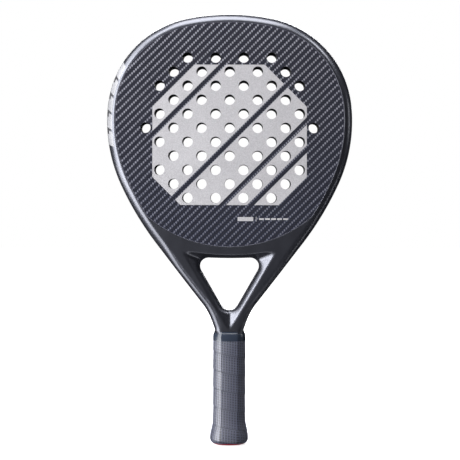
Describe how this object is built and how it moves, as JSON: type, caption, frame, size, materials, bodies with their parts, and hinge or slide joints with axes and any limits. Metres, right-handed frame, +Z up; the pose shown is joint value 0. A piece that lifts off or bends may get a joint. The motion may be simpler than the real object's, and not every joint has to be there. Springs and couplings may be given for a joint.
{
  "type": "padel racket",
  "caption": "Teardrop padel racket: hollow frame, perforated foam core between plied faces, open throat and a wrapped octagonal handle.",
  "frame": {"origin": "centre of the butt's underside, on the handle's long axis", "axes": "+Z up the handle to the tip of the head; the front face looks along -Y; +X to the right when the front face is seen with the tip up"},
  "size_m": [0.2588, 0.038, 0.455],
  "materials": {
    "painted_frame": "satin",
    "foam": "matte",
    "carbon_weave": "satin",
    "glass_ply": "satin",
    "pale_film": "satin",
    "handle_foam": "matte",
    "cap_plastic": "satin",
    "red_plastic": "satin",
    "grip_wrap": "satin",
    "tape": "gloss"
  },
  "bodies": {
    "root": {"frame_tube": "painted_frame", "throat_bridge": "painted_frame", "eva_core": "foam", "front_carbon_ply": "carbon_weave", "rear_carbon_ply": "carbon_weave", "front_glass_ply": "glass_ply", "rear_glass_ply": "glass_ply", "front_band_film": "pale_film", "front_badge_film": "pale_film", "rear_band_film": "pale_film", "rear_badge_film": "pale_film", "handle_foam_left": "handle_foam", "handle_foam_right": "handle_foam", "butt_cap": "cap_plastic", "butt_plate": "red_plastic", "grip": "grip_wrap", "finishing_tape": "tape"}
  },
  "joints": []
}
